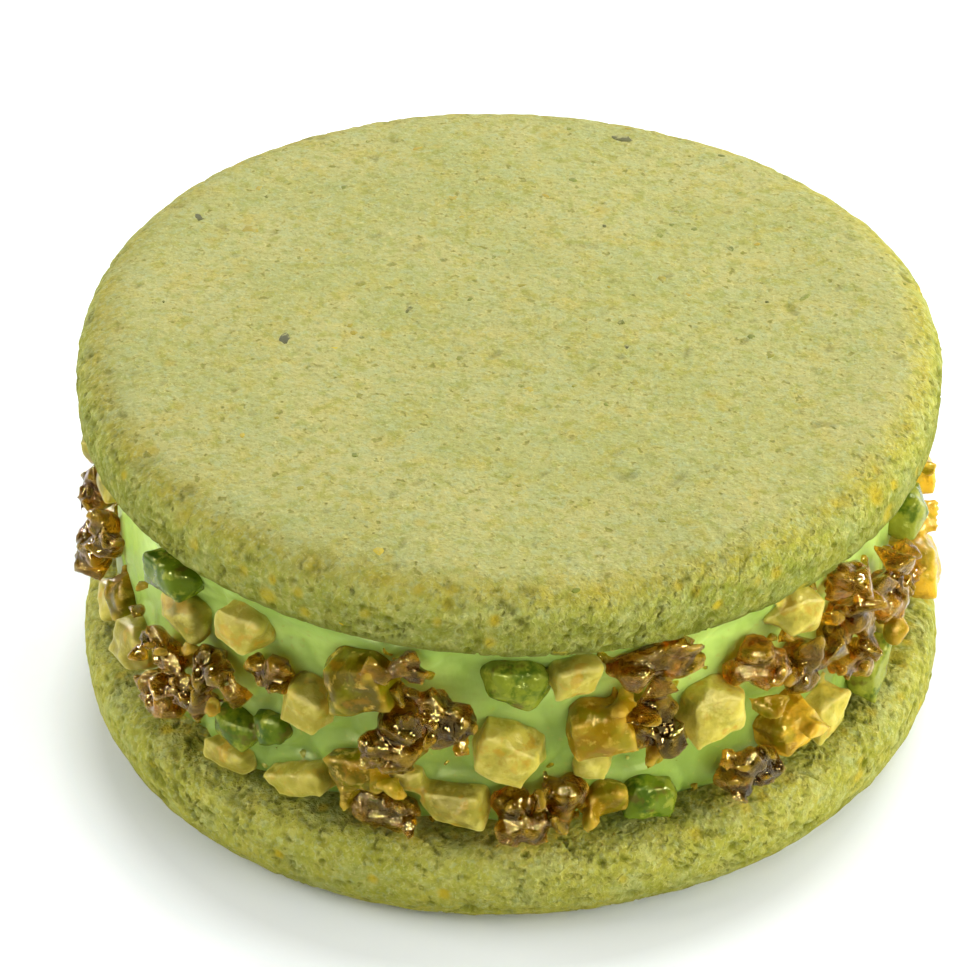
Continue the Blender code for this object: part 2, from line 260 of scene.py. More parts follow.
def bakedShortbread():
    # pistachio shortbread, rolled, cut and baked: dry and matte, sandy with pale and dark crumbs,
    # warmer where the oven caught its rim, and greener and darker down its side, partly its own colour and
    # partly painted shade
    look = {
        # from face to side; the darker side tones are partly painted shade
        "light": ((0.1, "#b4af69"), (0.5, "#b1a63c"), (0.8, "#a4a442"), (1.0, "#8c9036")),
        "shade": ((0.1, "#a6a75e"), (0.5, "#a39a32"), (0.8, "#959836"), (1.0, "#7f862f")),
        "noises": (  # name, size and detail
            ("patch", 9.0, 3.0), ("crumb", 0.7, 3.0), ("stroke", 0.55, 0.0), ("choice", 0.4, 1.0),
            ("speck", 0.9, 2.0),
        ),
        "patches": (0.38, 0.62),  # the noise up to which the dough is shaded, and from which it is light
        "grains": (  # size, from, to, amount, colour
            (3.0, 0.48, 0.64, 0.50, "#a9b074"), (2.2, 0.50, 0.66, 0.48, "#b8a430"),
            (1.1, 0.50, 0.64, 0.60, "#8f973c"), (0.9, 0.52, 0.66, 0.50, "#c4b766"),
            (0.6, 0.52, 0.66, 0.50, "#a4b07c"),
            (0.34, 0.56, 0.74, 0.40, "#d2ca84"), (0.45, 0.53, 0.68, 0.45, "#7a7c26"),
        ),
        "calmed": (0.4, 0.9, 0.2),  # the grains are a fifth fainter down the side
        "crumbs": ((0.48, 0.36, 0.4, "#6b6f22"), (0.54, 0.68, 0.4, "#c6c072")),  # down the side
        "strokeWidth": 0.06,
        "strokes": (  # how high they stand, from, to, amount, colour
            (0.15, 0.53, 0.6, 0.3, "#dad488"), (-0.2, 0.46, 0.39, 0.28, "#7c7c1c"),
        ),
        "specks": (-0.35, 0.65, 0.73, 0.6, "#74781a"), "sideSpecks": 0.04,  # and how many more at the side
        "washes": (
            # painted shade below the side (under), and the colour of melted sugar (stain)
            ("under", 0.0, 1.0, 1.0, "#5f641c"), ("stain", 0.0, 1.0, 1.0, "#b09a20"),
            # painted shade in the dents, tears and cracks
            ("pit", 0.0, 1.0, 1.0, "#575a00"),
        ),
        "relief": (0.8, 0.35), "faceHeight": 0.3, "sideHeight": 0.6,
    }
    material, tree, shader, coords = newMaterial("bakedShortbread", {
        "Roughness": 0.85, "IOR": 1.45, "Specular IOR Level": 0.1, "Specular Tint": colour("#e4dd9c"),
    })
    edge = addNode(tree, "Attribute", {"attribute_name": "edge"})
    noises = {name: addNode(tree, "TexNoise", {"Scale": 1 / (size * mm), "Detail": detail},
                            {"Vector": coords}) for name, size, detail in look["noises"]}
    low, high = look["patches"]
    patch = addNode(tree, "MapRange", {"From Min": low, "From Max": high}, {"Value": noises["patch"]})
    light = addNode(tree, "ValToRGB", {"stops": look["light"]}, {"Fac": edge})
    shade = addNode(tree, "ValToRGB", {"stops": look["shade"]}, {"Fac": edge})
    dough = addNode(tree, "Mix", {"data_type": "RGBA"}, {0: patch, 6: shade, 7: light})
    tone = layGrains(tree, coords, dough, look["grains"])
    low, high, most = look["calmed"]
    calm = addNode(tree, "MapRange", {"From Min": low, "From Max": high, "To Max": most}, {"Value": edge})
    tone = addNode(tree, "Mix", {"data_type": "RGBA"}, {0: calm, 6: tone, 7: dough})
    for layer in look["crumbs"]:
        tone, _ = layOver(tree, tone, noises["crumb"], *layer, edge)

    # short strokes of crumb: thin lines where a noise crosses its middle, pale or dark as a finer one picks
    weave = addNode(tree, "Math", {"operation": "SUBTRACT", 1: 0.5}, {0: noises["stroke"]})
    weave = addNode(tree, "Math", {"operation": "ABSOLUTE"}, {0: weave})
    weave = addNode(tree, "MapRange", {"From Min": look["strokeWidth"], "From Max": 0.0}, {"Value": weave})
    rises = []
    for rise, *layer in look["strokes"]:
        tone, mask = layOver(tree, tone, noises["choice"], *layer, weave)
        rises.append((mask, rise))
    rise, *layer = look["specks"]
    specks = addNode(tree, "Math", {"operation": "MULTIPLY_ADD", 1: look["sideSpecks"]},
                     {0: edge, 2: noises["speck"]})
    tone, mask = layOver(tree, tone, specks, *layer)
    rises.append((mask, rise))
    join(tree, layWashes(tree, tone, look["washes"]), shader, "Base Color")

    bump = addRelief(tree, shader, coords, *look["relief"], look["faceHeight"])
    tall = addNode(tree, "MapRange", {"To Min": look["faceHeight"] * mm, "To Max": look["sideHeight"] * mm},
                   {"Value": edge})
    join(tree, tall, bump, "Distance")
    height = bump.inputs["Height"].links[0].from_socket
    for mask, rise in rises:
        height = addNode(tree, "Math", {"operation": "MULTIPLY_ADD", 1: rise}, {0: mask, 2: height})
    join(tree, height, bump, "Height")
    return material


def bakedFleck():
    # bits of nut skin and burnt sugar baked into the dough: matte, in their own browns and yellows
    look = {
        "stops": ((0.0, "#4a4a20"), (0.2, "#60601c"), (0.35, "#6e761c"), (0.5, "#80881e"), (0.65, "#948e1c"),
                  (0.8, "#aa961a"), (1.0, "#c8b426")),
        "grains": ((0.7, 0.5, 0.65, 0.75, "#aeac5c"),),
        "relief": (0.5, 0.2, 0.1),  # coarse size, fine size, height
    }
    return foodMaterial("bakedFleck", "tone", look, {
        "Roughness": 0.8, "IOR": 1.45, "Specular IOR Level": 0.1,
    })


def butterCream():
    # pistachio butter cream, spread with a knife: satin, with light going a little way in;
    # painted shade darkens it in the seams at both biscuits, and painted light makes it palest where it
    # swells under the lid
    look = {
        # painted shade low down and at the top seam, and painted light where it swells under the lid
        "stops": ((0.06, "#5f7a28"), (0.18, "#8aa342"), (0.5, "#97b04c"), (0.8, "#bcd66a"),
                  (0.97, "#7c9838")),
        "grains": ((4.0, 0.45, 0.65, 0.5, "#88a53c"), (0.5, 0.62, 0.7, 0.4, "#b2a94a")),
        "relief": (1.2, 0.5, 0.08),
    }
    return foodMaterial("butterCream", "rise", look, {
        "Roughness": 0.36, "IOR": 1.45, "Specular IOR Level": 0.35, "Specular Tint": colour("#dfe8a8"),
        "Subsurface Weight": 0.6, "Subsurface Scale": 2.2 * mm, "Subsurface Radius": (1.0, 1.0, 0.4),
    })


def choppedNut():
    # blanched nut, chopped with a knife: cut faces with a satin oil sheen, paler along its ridges and greener
    # where cream touches them
    look = {
        "stops": ((0.1, "#827622"), (0.5, "#b0a23a"), (0.9, "#c6b648")),
        "grains": (
            (2.0, 0.46, 0.62, 0.7, "#8e8820"), (1.2, 0.52, 0.66, 0.45, "#d4c664"),
            (0.7, 0.56, 0.7, 0.5, "#a0821a"), (1.9, 0.57, 0.64, 0.6, "#b4881a"),
        ),
        "washes": (("ridge", 0.02, 0.12, 0.5, "#ccbf58"), ("smear", 0.4, 1.0, 0.7, "#98aa4a")),
        "relief": (0.7, 0.3, 0.1),
    }
    return foodMaterial("choppedNut", "tone", look, {
        "Roughness": 0.36, "IOR": 1.46, "Specular IOR Level": 0.3, "Specular Tint": colour("#f6e7a0"),
        "Subsurface Weight": 0.3, "Subsurface Scale": 1.0 * mm, "Subsurface Radius": (1.0, 0.8, 0.2),
    })


def caramelBrittle():
    # sugar boiled to caramel, set and crushed: clear amber glass over a cloudy core, olive-brown where thick,
    # with painted shade in its hollows, a painted glow of gold along its ridges, and sharp pale glints
    look = {
        "stops": ((0.0, "#3c2a04"), (0.3, "#a08010"), (0.6, "#b89818"), (1.0, "#f2cc44")),
        "grains": (
            (2.6, 0.52, 0.62, 0.7, "#a4781c"), (1.3, 0.5, 0.6, 0.85, "#5c4a0c"),
            (0.9, 0.56, 0.66, 0.7, "#f0c448"), (0.6, 0.56, 0.66, 0.7, "#3c2804"),
        ),
        # painted shade in the hollows, and a painted glow of gold along the ridges
        "washes": (("ridge", 0.0, -0.1, 0.9, "#2a1c02"), ("ridge", 0.05, 0.16, 0.7, "#d6b432")),
        "clear": (0.05, 0.16, 0.85, 0.605),  # ridge from, to, and how much light goes through at each
        "through": "#ecd420", "density": 1300.0,  # the light that stays inside, and how fast the rest goes
        "relief": (0.8, 0.3, 0.14),
    }
    material = foodMaterial("caramelBrittle", "tone", look, {
        "Roughness": 0.04, "IOR": 1.5, "Specular IOR Level": 0.3, "Specular Tint": colour("#f4da88"),
    })
    tree = material.node_tree
    ridge = addNode(tree, "Attribute", {"attribute_name": "ridge"})
    low, high, most, least = look["clear"]
    clear = addNode(tree, "MapRange", {"From Min": low, "From Max": high, "To Min": most, "To Max": least},
                    {"Value": ridge})
    join(tree, clear, tree.nodes["Principled BSDF"], "Transmission Weight")
    inside = addNode(tree, "VolumeAbsorption", {"Color": colour(look["through"]), "Density": look["density"]})
    join(tree, inside, tree.nodes["Material Output"], "Volume")
    return material


def glazedNut():
    # nut tossed in boiled sugar: olive-gold under a thick, wet-looking glaze, with a painted highlight along
    # its ridges
    look = {
        "stops": ((0.15, "#584c02"), (0.45, "#745f04"), (0.7, "#a88010"), (0.95, "#d8ac2c")),
        "grains": (
            (2.4, 0.48, 0.6, 0.6, "#74760e"), (1.4, 0.54, 0.66, 0.7, "#86600a"),
            (0.9, 0.56, 0.7, 0.6, "#d2b044"),
        ),
        # painted highlight along the ridges
        "washes": (("ridge", 0.04, 0.16, 0.5, "#c9a93a"),),
        "relief": (0.8, 0.35, 0.14),
    }
    return foodMaterial("glazedNut", "tone", look, {
        "Roughness": 0.1, "IOR": 1.46, "Specular IOR Level": 0.3, "Specular Tint": colour("#f0d070"),
        "Subsurface Weight": 0.4, "Subsurface Scale": 1.2 * mm, "Subsurface Radius": (1.0, 0.7, 0.12),
    })


def choppedPistachio():
    # green kernel, skinned and chopped: waxy and deep green, with yellower cut faces and scraps of brown skin
    look = {
        "stops": ((0.1, "#46600a"), (0.5, "#5e700e"), (0.9, "#868c28")),
        "grains": (
            (1.8, 0.48, 0.6, 0.8, "#35520a"), (1.1, 0.54, 0.66, 0.6, "#9a9c2e"),
            (2.0, 0.58, 0.66, 0.7, "#5c4a18"),
        ),
        "relief": (0.8, 0.35, 0.12),
    }
    return foodMaterial("choppedPistachio", "tone", look, {
        "Roughness": 0.22, "IOR": 1.46, "Specular IOR Level": 0.3, "Specular Tint": colour("#d8dc7c"),
        "Subsurface Weight": 0.2, "Subsurface Scale": 0.8 * mm, "Subsurface Radius": (0.9, 1.0, 0.2),
    })


def whiteCard():
    # matte white card, lit until it is nearly blown out, and glowing with painted light that grows outward
    # from a ring round the biscuit
    look = {
        "stops": ((0.4, "#e4e9e7"), (0.7, "#e2e7e6")), "patches": 40.0,
        "glow": "#fafdff", "shift": (1.0, 6.0, 0.0),  # its dim middle lies so far left and to the front
        "near": (33.0, 38.0, 0.3), "far": (200.0, 1000.0, 0.4),  # from, to, and the glow gained on the way
    }
    material, tree, shader, coords = newMaterial("whiteCard", {
        "Roughness": 0.9, "Emission Color": colour(look["glow"]),
    })
    broad = addNode(tree, "TexNoise", {"Scale": 1 / (look["patches"] * mm), "Detail": 3.0},
                    {"Vector": coords})
    tone = addNode(tree, "ValToRGB", {"stops": look["stops"]}, {"Fac": broad})
    join(tree, tone, shader, "Base Color")
    away = addNode(tree, "VectorMath", {1: [size * mm for size in look["shift"]]}, {0: coords})
    away = addNode(tree, "VectorMath", {"operation": "LENGTH"}, {0: away}).outputs["Value"]
    glows = [addNode(tree, "MapRange", {"From Min": low * mm, "From Max": high * mm, "To Max": most},
                     {"Value": away}) for low, high, most in (look["near"], look["far"])]
    # painted light: the card glows outside the ring round the biscuit
    join(tree, addNode(tree, "Math", None, {0: glows[0], 1: glows[1]}), shader, "Emission Strength")
    return material


sectionCut = {
    "points": (40, 24, 16),  # along the face, the shoulder and the heel
    "domeFall": 1.2, "open": 0.86,  # one face closes the flat side inside this share of the radius
}


def profilePoints(cut):
    # half the biscuit's section, its flat side at height 0: the face from its middle, the rim, the flat side
    radius, thickness, heel, dome = (cut[key] for key in ("radius", "thickness", "heel", "dome"))
    across, down = cut["shoulder"]
    brow = thickness - dome
    facePoints, shoulderPoints, heelPoints = sectionCut["points"]
    share = np.linspace(0, 1 - across / radius, facePoints)
    face = np.stack([share * radius, thickness - dome * share ** 2 * sectionCut["domeFall"]], 1)
    turn = np.radians(np.linspace(90, 0, shoulderPoints))
    side = np.stack([radius - across + across * np.cos(turn), brow - down + down * np.sin(turn)], 1)
    turn = np.radians(np.linspace(0, -90, heelPoints))
    foot = np.stack([radius - heel + heel * np.cos(turn), heel + heel * np.sin(turn)], 1)
    return np.concatenate([face, side, foot, [[radius * sectionCut["open"], 0.0]]])


crumb = {
    "cells": 310,  # across the whole biscuit, which makes them about 0.3 mm
    "waveLength": 14.0, "slopeOver": 0.2,  # the section's slope is read over this to each side
    "ripples": ((7.0, 0.05), (2.2, 0.06), (1.1, 0.07)),  # size and height, all over
    "sideRipples": ((1.1, 0.06, 5), (2.2, 0.07, 7)),  # size, height and seed
    "layers": 1.8,  # the side's crumb lies in layers, this much flatter than wide
    # thin lines, in spots that a noise picks by its size, from, to, and seed; dark is the painted shade along
    # them
    "tears": {"size": 2.3, "width": 0.11, "seed": 5, "spots": (4.0, -0.15, 0.35, 9), "dark": 0.55},
    "cracks": {"size": 1.3, "width": 0.1, "seed": 2, "spots": (3.0, 0.0, 0.4, 4), "dark": 0.7},
    "lineDepth": 0.28,
    "fade": 1.5,  # the relief fades out over this, towards the flat side's middle
    "under": (-0.35, 0.5),  # how far down a side has to face for the painted shade to start, and to be full
}
pits = {  # steam holes and torn crumbs, darkened with painted shade in their dents, and stains where sugar melted
    "size": (0.28, 0.42), "large": (0.12, 1.6),  # reach, and how many are how much larger
    "depth": (0.35, 0.7), "strength": (0.4, 0.95),  # depth in shares of the reach
    "faceShare": 0.22, "faceDepth": 0.4, "faceStrength": 0.5,  # how many, how deep, and how dark their painted shade is on the face
    "faceUpTo": 0.4, "markWidth": 1.5,  # where the side starts, and how wide the painted shade is in its dent
    "row": (1, 2, 3, 4), "step": 0.7,  # dents in a row, and how far apart in shares of their reach
    "stain": (1.8, 0.3),  # how much wider and shallower a stain is
}


def tornLines(points, layered, kind, seed):
    # thin lines where one noise crosses its middle, in the spots that a coarser one picks
    line = 1 - smooth(0.0, kind["width"], abs(ripple(layered, kind["size"], seed + kind["seed"])))
    size, low, high, shift = kind["spots"]
    return line * smooth(low, high, ripple(points, size, seed + shift))


def biscuitPiece(name, cut, placed, material, node):
    # a square grid is wrapped over the biscuit, which keeps its cells even, then roughened and pitted
    shape = bmesh.new()
    bmesh.ops.create_grid(shape, x_segments=crumb["cells"] - 1, y_segments=crumb["cells"] - 1, size=1)
    mesh = toMesh(shape, name)
    a, b = readPoints(mesh)[:, :2].T
    wide = abs(a) >= abs(b)
    safeA, safeB = np.where(wide, a, 1.0), np.where(wide, 1.0, b)
    angle = np.where(wide, math.pi / 4 * b / safeA, math.pi / 2 - math.pi / 4 * a / safeB)
    angle += np.where(np.where(wide, a, b) < 0, math.pi, 0.0)
    section = profilePoints(cut)
    step = np.hypot(*np.diff(section, axis=0).T)
    length = np.concatenate([[0], np.cumsum(step)])
    along = np.maximum(abs(a), abs(b)) * length[-1]
    radius, height = (np.interp(along, length, part) for part in section.T)
    near = crumb["slopeOver"]
    ahead, behind = np.minimum(along + near, length[-1]), np.maximum(along - near, 0)
    outward, upward = (np.interp(ahead, length, part) - np.interp(behind, length, part) for part in section.T)
    lean = np.hypot(outward, upward)
    nOut, nUp = -upward / lean, outward / lean
    calm = smooth(0.0, crumb["fade"], length[-1] - along)
    edge = np.where(nUp > 0, nOut, 1.0)  # 0 on the face and 1 round the side

    x, y = radius * np.cos(angle), radius * np.sin(angle)
    waves = ripple(np.stack([x, y, 0 * x], 1), crumb["waveLength"]) * cut["waves"] * height / cut["thickness"]
    stretch = lobed(cut, angle)
    points = np.stack([x * stretch, y * stretch, cut["facing"] * height + waves], 1)
    normals = np.stack([nOut * np.cos(angle), nOut * np.sin(angle), cut["facing"] * nUp], 1)

    seed = 17.0 * cut["seed"]
    relief = sum(height * ripple(points, size, seed) for size, height in crumb["ripples"])
    layered = points * [1, 1, crumb["layers"]]
    rough = sum(height * ripple(layered, size, seed + shift) for size, height, shift in crumb["sideRipples"])
    tears, cracks = crumb["tears"], crumb["cracks"]
    torn, cracked = (tornLines(points, layered, kind, seed) for kind in (tears, cracks))
    relief += edge * (rough - crumb["lineDepth"] * (torn + cracked))
    relief, pitted, stained = pitInto(points, relief, edge, cut)
    points += normals * (relief * calm)[:, None]
    points[:, 2] = np.maximum(points[:, 2], -cut["thickness"]) if cut["facing"] < 0 else points[:, 2]

    writePoints(mesh, points)
    paint(mesh, "edge", edge * cut["browningAndShade"])
    # painted shade: darker where the side turns to face downwards
    paint(mesh, "under", cut["shaded"] * edge * smooth(*crumb["under"], -nUp * cut["facing"]))
    dark = np.maximum(tears["dark"] * torn, cracks["dark"] * cracked)
    # painted shade in the dents, tears and cracks
    paint(mesh, "pit", np.maximum(pitted, edge * dark))
    paint(mesh, "stain", stained)
    if cut["facing"] < 0:
        mesh.flip_normals()
    closeHoles(mesh)
    mesh.transform(placed)
    return finishPiece(mesh, name, material, node)


def pitInto(points, relief, edge, cut):
    # each pit is a short row of dents with painted shade in them, and they are shallower and fewer on the
    # face
    draw = random.Random(cut["seed"])
    tree = nearTree(points)
    relief, pitted, stained = relief.copy(), np.zeros(len(points)), np.zeros(len(points))
    share, larger = pits["large"]
    for mark in range(cut["pits"] + cut["stains"]):
        isPit = mark < cut["pits"]
        wide, deep = (1.0, 1.0) if isPit else pits["stain"]
        marked = pitted if isPit else stained
        start = draw.randrange(len(points))
        if edge[start] < pits["faceUpTo"] and draw.random() > pits["faceShare"]:
            continue
        size = draw.uniform(*pits["size"]) * (larger if draw.random() < share else 1.0) * wide
        depth = size * draw.uniform(*pits["depth"]) * deep
        depth *= pits["faceDepth"] + (1 - pits["faceDepth"]) * edge[start]
        strength = draw.uniform(*pits["strength"])
        strength *= pits["faceStrength"] + (1 - pits["faceStrength"]) * edge[start]
        course = Vector((draw.uniform(-1, 1), draw.uniform(-1, 1), draw.uniform(-0.2, 0.2))).normalized()
        for k in range(draw.choice(pits["row"]) if isPit else 1):
            spot = Vector(points[start]) + course * size * pits["step"] * k
            for _, i, far in tree.find_range(spot, size):
                dent = (1 - (far / size) ** 2) ** 2
                relief[i] = min(relief[i], relief[i] * (1 - dent) - depth * dent)
                marked[i] = max(marked[i], min(1.0, pits["markWidth"] * dent) * strength)
    return relief, pitted, stained


def closeHoles(mesh):
    shape = bmesh.new()
    shape.from_mesh(mesh)
    bmesh.ops.holes_fill(shape, edges=[edge for edge in shape.edges if edge.is_boundary])
    bmesh.ops.recalc_face_normals(shape, faces=shape.faces)
    shape.to_mesh(mesh)
    shape.free()


flecks = {
    "placed": (  # x and y on the lid, length, width, tone
        (-17.5, -2.0, 2.8, 1.9, 0.06), (-20.5, 13.6, 2.8, 2.2, 0.74), (-25.2, 15.7, 1.8, 1.3, 0.1),
        (-13.3, -3.3, 1.6, 1.4, 1.0), (9.9, -3.1, 1.2, 1.1, 0.08), (15.2, 4.6, 1.9, 1.2, 0.78),
        (10.3, 28.5, 2.8, 1.3, 0.16), (-9.4, -29.4, 1.7, 1.6, 0.95), (26.5, 21.7, 1.8, 0.9, 0.6),
        (-15.9, 10.4, 0.8, 0.8, 0.9), (-20.3, 20.1, 1.0, 0.8, 0.85), (-7.0, 26.4, 1.0, 0.8, 0.8),
        (-3.9, 18.4, 0.9, 0.8, 0.82), (3.8, 18.7, 1.0, 0.9, 0.8), (-13.0, 20.2, 1.0, 0.8, 0.45),
        (-3.2, 15.5, 0.7, 0.7, 0.85), (-11.5, 5.6, 1.2, 0.9, 0.6), (-3.0, 8.4, 1.0, 0.9, 0.62),
        (1.6, 5.4, 1.1, 0.8, 0.66), (-7.6, 2.1, 1.4, 0.5, 0.25), (-3.5, -4.6, 1.1, 0.9, 0.55),
        (2.1, -8.8, 1.0, 1.0, 0.88), (-12.0, -1.2, 0.7, 0.7, 0.75), (6.2, 21.3, 1.0, 1.0, 0.45),
        (14.6, 17.0, 1.1, 1.1, 0.55), (16.0, 14.3, 0.9, 0.8, 0.4), (13.0, 13.2, 1.4, 1.2, 0.5),
        (18.8, 11.6, 1.2, 0.9, 0.35), (13.1, 6.9, 1.2, 0.7, 0.7), (9.5, 0.1, 0.8, 0.5, 0.3),
        (10.4, -7.8, 1.0, 0.7, 0.66), (21.3, -3.6, 1.1, 0.8, 0.6), (24.6, 4.5, 1.6, 0.8, 0.5),
    ),
    "small": 110, "size": (0.3, 0.8), "wide": (0.5, 0.9),  # how many lie anywhere, length, and width for it
    "tones": (0.15, 0.95, 0.45),  # darkest, palest and most usual
    "thick": 0.28, "proud": 0.04,  # share of the width, and how far they stand out of the dough
    "rough": 0.5, "lumps": 1.7, "turn": 0.5, "seed": 61,  # how lumpy, lumps across, and turned by up to this
}


def flecksPiece(biscuits, material):
    # baked-in flecks, each a flat pebble lying in the surface of one of the two biscuits
    look = flecks
    draw = random.Random(look["seed"])
    spots = [(readPoints(one.data) / mm - [*middle, 0.0], readNormals(one.data)) for one in biscuits]
    found = []
    points, normals = spots[0]
    for x, y, length, width, tone in look["placed"]:
        near = np.where(normals[:, 2] > 0.2, np.hypot(points[:, 0] - x, points[:, 1] - y), 99.0)
        found.append((int(near.argmin()), 0, length, width, tone))
    for _ in range(look["small"]):
        which = draw.randrange(2)
        length = draw.uniform(*look["size"])
        tone = draw.triangular(*look["tones"])
        index = draw.randrange(len(spots[which][0]))
        found.append((index, which, length, length * draw.uniform(*look["wide"]), tone))
    joined, tones = bmesh.new(), []
    for index, which, length, width, tone in found:
        points, normals = spots[which]
        out = Vector(normals[index])
        half = (length / 2, width / 2, width * look["thick"] / 2)
        centre = Vector(points[index]) + out * (look["proud"] - half[2])
        place = Matrix.Translation(centre) @ out.to_track_quat("Z", "Y").to_matrix().to_4x4()
        place = place @ Matrix.Rotation(draw.uniform(-look["turn"], look["turn"]), 4, "Z")
        pebble = bmesh.new()
        bmesh.ops.create_icosphere(pebble, subdivisions=2, radius=1.0)
        for vertex in pebble.verts:
            lump = 1 + look["rough"] * noise.noise(vertex.co * look["lumps"] + Vector((index, 0, 0)))
            vertex.co = [c * lump * size for c, size in zip(vertex.co, half)]
        pebble.transform(place)
        gather(joined, [pebble])
        tones.append(tone)
    mesh = toMesh(joined, "biscuitFlecks")
    paint(mesh, "tone", np.repeat(tones, len(mesh.vertices) // len(tones)))
    return finishPiece(mesh, "biscuitFlecks", material, None)


cream = {
    "radius": 31.3,
    "around": 620, "up": 64, "seam": 0.01,  # grid cells, and points this close are joined
    "tuck": (1.3, 0.12),  # how far it draws in at the base, over this share of its height
    "lip": (1.3, 0.92, 0.1),  # how far it swells under the lid, and where and how wide that is
    "belly": (0.4, 1.4, 0.4),  # how far it bulges, half waves over its height, and where they start
    "wobble": (0.75, 3.4, 2.2),  # how far, and how fine round it and up it
    "dents": ((4.5, 0.16, 3.0), (1.6, 0.06, 9.0)),  # size, depth and seed of the knife's marks
    "fillet": 0.5, "filletReach": (0.95, 1.55),  # how far it swells up round each bit, and over what
}
shownBits = (  # kind, azimuth, height, length, and size upwards
    ("brittle", -91, 24.0, 4.6, 4.4), ("nib", -78, 23.5, 4.2, 3.6), ("brittle", -88, 19.0, 5.4, 5.0),
    ("brittle", -77, 18.6, 4.6, 4.6), ("brittle", -84, 14.0, 5.2, 5.2), ("nib", -81, 10.2, 5.0, 3.6),
    ("honey", -72, 14.6, 4.4, 3.6), ("nib", -63, 13.5, 5.4, 4.6), ("nib", -69, 10.2, 3.8, 2.8),
    ("pistachio", -51, 25.0, 6.5, 4.0), ("nib", -51, 21.0, 6.0, 3.8), ("brittle", -54, 16.6, 5.6, 4.6),
    ("brittle", -56, 11.4, 6.4, 5.0), ("brittle", -48, 14.2, 5.0, 4.6), ("brittle", -43, 18.2, 5.8, 4.6),
    ("pistachio", -40, 13.4, 5.2, 3.4), ("nib", -42, 9.8, 5.8, 2.8), ("nib", -38, 23.8, 4.8, 4.8),
    ("brittle", -34, 20.4, 5.4, 4.2), ("pistachio", -34, 14.6, 3.6, 3.0), ("nib", -28, 18.4, 5.2, 4.6),
    ("nib", -30, 10.2, 6.4, 3.4), ("honey", -20, 22.4, 7.2, 5.8), ("honey", -21, 13.2, 6.0, 3.6),
    ("brittle", -13, 25.0, 3.6, 3.2), ("brittle", -15, 18.0, 6.2, 6.2), ("nib", -14, 13.0, 3.2, 2.6),
    ("brittle", -17, 9.8, 7.2, 3.8), ("brittle", -8, 20.6, 5.6, 5.8), ("nib", -7, 11.2, 6.0, 3.8),
    ("pistachio", 1, 23.2, 6.2, 4.6), ("nib", 0, 16.6, 6.4, 5.0), ("brittle", 1, 10.8, 5.8, 5.0),
    ("nib", 9, 23.8, 4.8, 4.0), ("brittle", 7, 12.2, 4.6, 4.4), ("nib", 11, 14.8, 3.4, 2.8),
    ("honey", 12, 18.6, 6.0, 4.8), ("honey", 13, 11.0, 4.4, 3.2), ("pistachio", 19, 10.4, 5.4, 3.8),
    ("brittle", 20, 18.0, 5.4, 6.4), ("brittle", 20, 24.2, 8.6, 4.4), ("nib", 28, 17.6, 6.2, 4.8),
    ("brittle", 33, 11.4, 7.4, 5.6), ("brittle", 34, 20.4, 5.4, 5.0), ("nib", 42, 23.4, 5.2, 4.6),
    ("honey", 41, 12.4, 5.6, 4.8), ("brittle", 42, 17.8, 6.0, 4.8), ("nib", 49, 10.8, 5.6, 4.6),
    ("brittle", 51, 23.8, 5.8, 4.4), ("brittle", 53, 18.6, 6.0, 5.2), ("brittle", 54, 14.4, 5.6, 4.4),
    ("pistachio", 62, 10.4, 6.0, 4.4), ("brittle", 64, 17.0, 5.6, 4.6), ("nib", 69, 12.8, 4.8, 3.4),
    ("pistachio", 79, 19.0, 5.0, 5.0), ("brittle", 74, 15.0, 5.2, 4.2), ("honey", 80, 13.0, 6.2, 6.4),
    ("brittle", 90, 22.8, 5.2, 4.8), ("nib", 85, 9.7, 5.0, 2.8), ("honey", 92, 17.8, 5.2, 5.2),
)
hiddenSide = {
    "courses": (10.5, 14.8, 19.0, 23.4),  # heights
    "start": 97, "end": 264, "spacing": 14.0, "uneven": (0.8, 1.2),  # degrees, and what the spacing is times
    "shift": (3, 0.8),  # degrees round it, and mm upwards
    "kinds": ("nib", "brittle", "honey", "pistachio"), "shares": (0.32, 0.42, 0.13, 0.13),
    "length": (4.4, 7.2), "tall": (3.8, 5.8), "seed": 11,
    # small pieces in its gaps: reach, room and lift for it, degrees past the ends, heights, and spots tried
    "fill": (1.0, 1.7), "room": 0.9, "lift": 0.4, "past": 4, "heights": (9.4, 25.2), "tries": 900,
}
